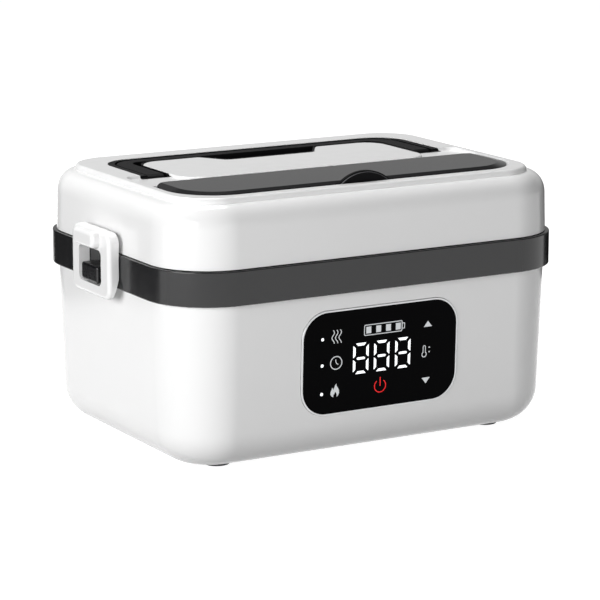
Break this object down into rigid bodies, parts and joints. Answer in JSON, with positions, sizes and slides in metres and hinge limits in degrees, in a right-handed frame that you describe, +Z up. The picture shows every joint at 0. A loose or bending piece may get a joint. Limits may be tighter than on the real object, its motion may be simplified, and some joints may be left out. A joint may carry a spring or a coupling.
{
  "type": "electric lunch box",
  "caption": "Cordless heated lunch box with a lift-off lid, fold-down carry handle, cutlery compartment in the lid, side latches and a touch display.",
  "frame": {"origin": "middle of the footprint, on the surface the feet stand on", "axes": "+X to the right along the long side, +Y to the back, +Z up; the display faces -Y"},
  "size_m": [0.2622, 0.175, 0.148],
  "materials": {
    "white_plastic": "glossy",
    "belt_plastic": "glossy",
    "black_plastic": "satin",
    "handle_plastic": "satin",
    "cover_plastic": "fine satin",
    "bezel_plastic": "satin",
    "display_glass": "polished",
    "circuit_board": "solder mask",
    "brushed_steel": "brushed",
    "steel": "turned",
    "aluminium": "cast",
    "ceramic": "matt",
    "felt": "felt",
    "cell_wrap": "shrink wrap",
    "brass": "plated",
    "tray_lid_plastic": "smooth",
    "silicone": "matt",
    "grey_silicone": "matt",
    "rubber": "matt"
  },
  "bodies": {
    "base": {"outer_shell": "white_plastic", "belt_ring": "belt_plastic", "base_plate": "white_plastic", "base_screws": "steel", "rubber_feet": "rubber", "latch_block_left": "black_plastic", "latch_block_right": "black_plastic", "display_bezel": "bezel_plastic", "display_glass": "display_glass", "display_board": "circuit_board", "inner_well": "brushed_steel", "heater_plate": "aluminium", "thermal_cutouts": "ceramic", "insulation_pad": "felt", "control_board": "circuit_board", "battery_cradle": "black_plastic", "battery_cells": "cell_wrap", "battery_clamp": "black_plastic", "charge_socket": "black_plastic", "socket_contact": "brass"},
    "container": {"food_tray": "brushed_steel"},
    "tray_cover": {"tray_lid": "tray_lid_plastic", "tray_seal": "silicone", "vent_plug": "grey_silicone"},
    "lid": {"lid_shell": "white_plastic", "lid_liner": "white_plastic", "lid_seal": "silicone", "lid_screws": "steel", "cutlery_tray": "black_plastic", "handle_well": "black_plastic", "handle_pins": "steel", "cover_hinge_rod": "steel"},
    "handle": {"carry_handle": "handle_plastic"},
    "cover": {"cutlery_cover": "cover_plastic", "cover_pull_tab": "black_plastic"},
    "left_latch": {"latch_left": "white_plastic", "latch_pin_left": "steel"},
    "right_latch": {"latch_right": "white_plastic", "latch_pin_right": "steel"}
  },
  "joints": [
    {"name": "lid_lift", "type": "slide", "parent": "base", "child": "lid", "axis": [0, 0, 1], "range_m": [0, 0.2]},
    {"name": "tray_lift", "type": "slide", "parent": "base", "child": "container", "axis": [0, 0, 1], "range_m": [0, 0.09]},
    {"name": "tray_lid_lift", "type": "slide", "parent": "container", "child": "tray_cover", "axis": [0, 0, 1], "range_m": [0, 0.05]},
    {"name": "handle_fold", "type": "hinge", "parent": "lid", "child": "handle", "pos_m": [0, 0.0109, 0.1362], "axis": [1, 0, 0], "range_deg": [0, 90]},
    {"name": "cover_flip", "type": "hinge", "parent": "lid", "child": "cover", "pos_m": [0, -0.022, 0.1392], "axis": [-1, 0, 0], "range_deg": [0, 100]},
    {"name": "latch_left_swing", "type": "hinge", "parent": "base", "child": "left_latch", "pos_m": [-0.1235, 0, 0.0955], "axis": [0, -1, 0], "range_deg": [0, 15.5]},
    {"name": "latch_right_swing", "type": "hinge", "parent": "base", "child": "right_latch", "pos_m": [0.1235, 0, 0.0955], "axis": [0, 1, 0], "range_deg": [0, 15.5]}
  ],
  "couplings": [
    {"joint": "tray_lift", "follows": "lid_lift", "ratio": 0.45},
    {"joint": "tray_lid_lift", "follows": "lid_lift", "ratio": 0.25}
  ]
}
